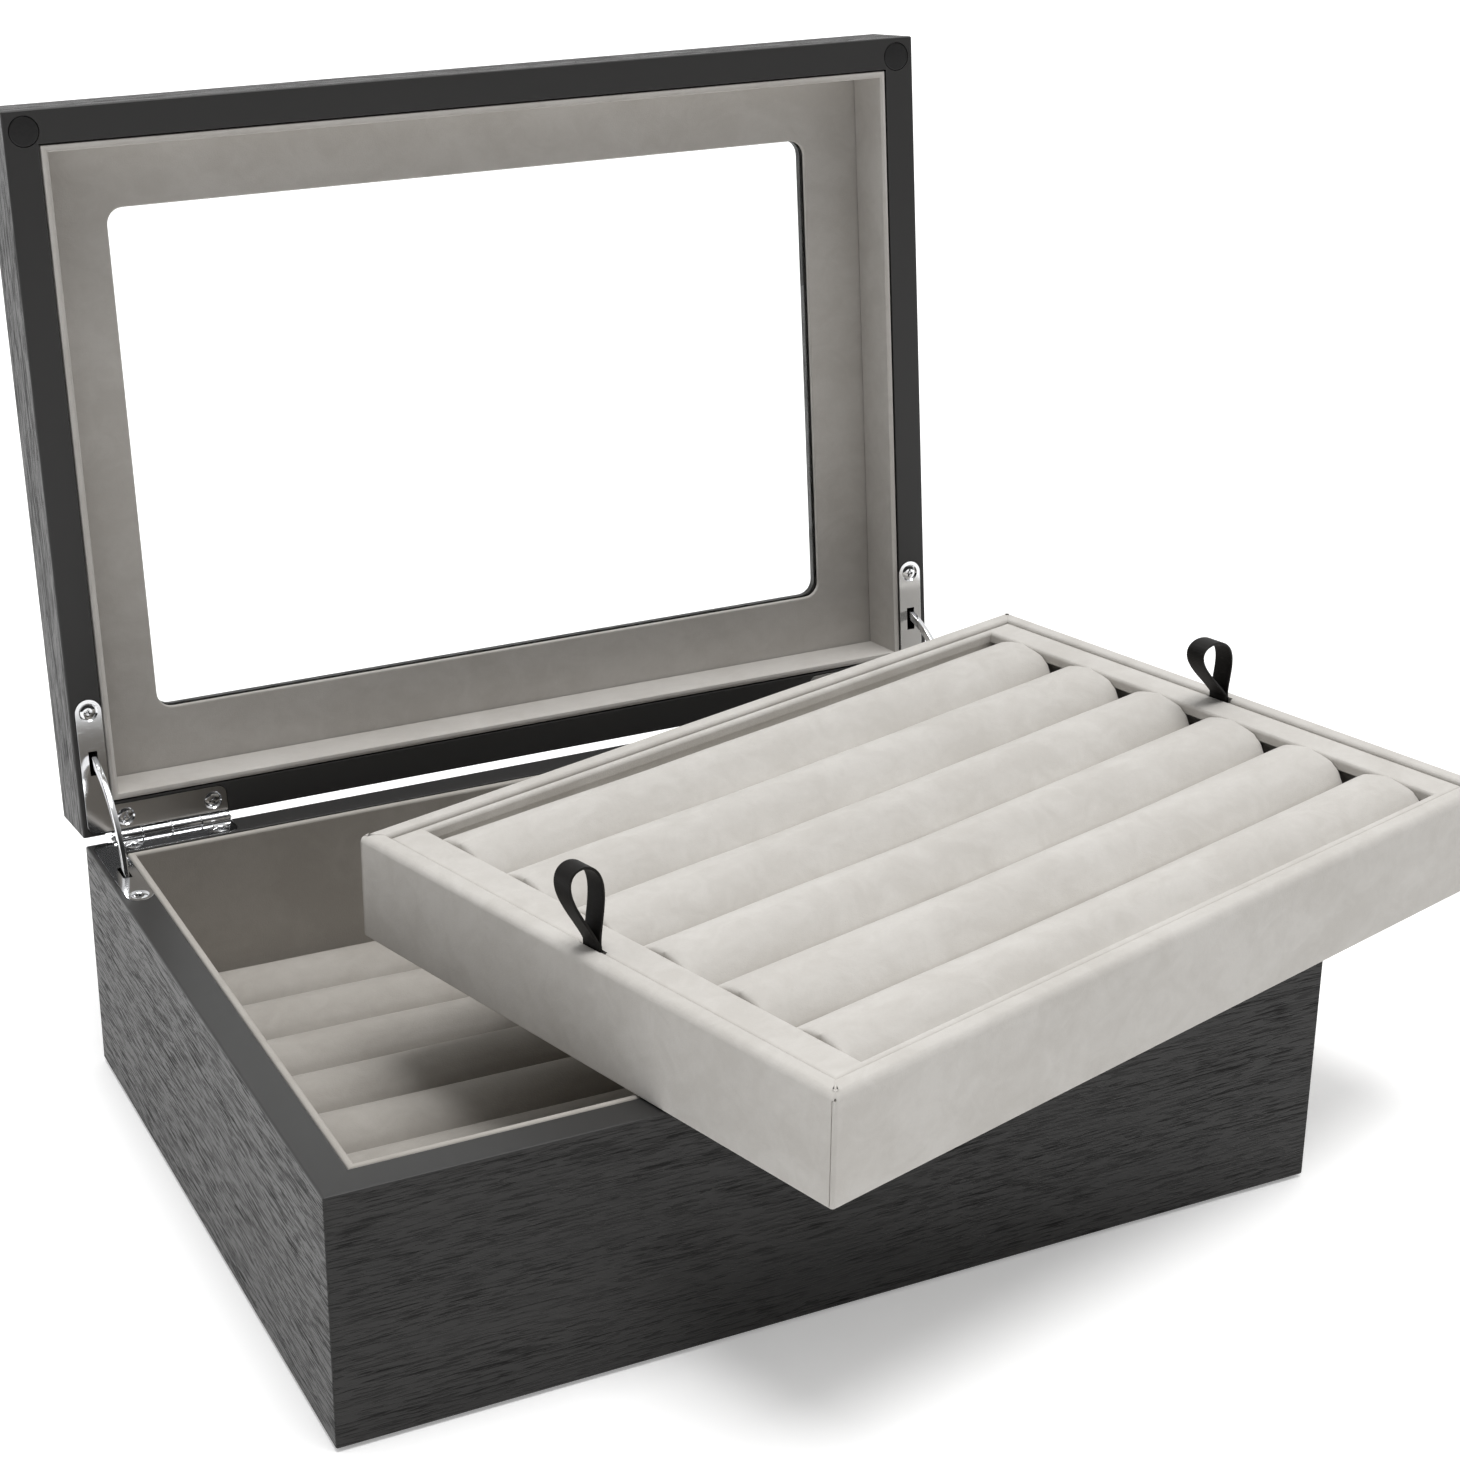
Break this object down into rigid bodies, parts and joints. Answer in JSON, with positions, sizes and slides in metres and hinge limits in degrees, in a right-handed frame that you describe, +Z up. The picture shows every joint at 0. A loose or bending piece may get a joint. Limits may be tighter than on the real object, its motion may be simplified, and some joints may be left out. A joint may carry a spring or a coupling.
{
  "type": "lidded jewellery box",
  "caption": "Low rectangular jewellery box in dark oak with a hinged glazed lid on curved stays, a velvet interior of ring rolls and a lift-out ring tray lying across its rim.",
  "frame": {"origin": "centre of the case's underside", "axes": "+X to the right, +Y to the back where the hinges are, +Z up"},
  "size_m": [0.3689, 0.3296, 0.2951],
  "materials": {
    "oak": "dark stained open-grain oak veneer, satin",
    "board": "plain board, matt",
    "velvet": "light greige short-pile velvet",
    "felt": "dark felt",
    "chrome": "polished",
    "strap": "black grosgrain ribbon",
    "magnet": "black coated disc, satin",
    "glass": "clear, polished"
  },
  "bodies": {
    "case": {"base_back_panel": "oak", "base_bottom_board": "board", "base_felt": "felt", "base_front_panel": "oak", "base_hinge_leaf_left": "chrome", "base_hinge_leaf_right": "chrome", "base_left_panel": "oak", "base_lining": "velvet", "base_right_panel": "oak", "base_roll_1": "velvet", "base_roll_2": "velvet", "base_roll_3": "velvet", "base_roll_4": "velvet", "base_roll_5": "velvet", "base_roll_6": "velvet", "base_roll_7": "velvet", "base_roll_8": "velvet", "base_roll_board": "velvet", "base_screw_left_back": "chrome", "base_screw_left_corner": "chrome", "base_screw_left_side": "chrome", "base_screw_right_back": "chrome", "base_screw_right_corner": "chrome", "base_screw_right_side": "chrome", "hinge_pin_left": "chrome", "hinge_pin_right": "chrome", "tray_rest_left": "velvet", "tray_rest_right": "velvet"},
    "lid": {"lid_back_rail": "oak", "lid_front_rail": "oak", "lid_glass": "glass", "lid_hinge_leaf_left": "chrome", "lid_hinge_leaf_right": "chrome", "lid_left_rail": "oak", "lid_lining": "velvet", "lid_magnet_left": "magnet", "lid_magnet_right": "magnet", "lid_right_rail": "oak", "lid_screw_left_back": "chrome", "lid_screw_left_corner": "chrome", "lid_screw_left_side": "chrome", "lid_screw_right_back": "chrome", "lid_screw_right_corner": "chrome", "lid_screw_right_side": "chrome", "lid_top_panel": "oak", "lid_window_mat": "velvet"},
    "left_stay": {"stay_left": "chrome"},
    "right_stay": {"stay_right": "chrome"},
    "tray": {"tray_floor": "velvet", "tray_frame": "velvet", "tray_insert": "velvet", "tray_loop_left": "strap", "tray_loop_right": "strap", "tray_roll_1": "velvet", "tray_roll_2": "velvet", "tray_roll_3": "velvet", "tray_roll_4": "velvet", "tray_roll_5": "velvet", "tray_roll_6": "velvet"}
  },
  "joints": [
    {"name": "lid_hinge", "type": "hinge", "parent": "case", "child": "lid", "pos_m": [0, 0.1113, 0.0753], "axis": [1, 0, 0], "range_deg": [0, 96.5]},
    {"name": "left_stay_turn", "type": "hinge", "parent": "case", "child": "left_stay", "pos_m": [0, 0.1113, 0.0753], "axis": [1, 0, 0], "range_deg": [0, 58]},
    {"name": "right_stay_turn", "type": "hinge", "parent": "case", "child": "right_stay", "pos_m": [0, 0.1113, 0.0753], "axis": [1, 0, 0], "range_deg": [0, 58]},
    {"name": "tray_draw", "type": "slide", "parent": "case", "child": "tray", "axis": [0, -1, 0], "range_m": [0, 0.2802]}
  ],
  "couplings": [
    {"joint": "left_stay_turn", "follows": "lid_hinge", "ratio": 0.6},
    {"joint": "right_stay_turn", "follows": "lid_hinge", "ratio": 0.6},
    {"joint": "tray_draw", "follows": "lid_hinge", "m_per_rad": 0.1663}
  ]
}
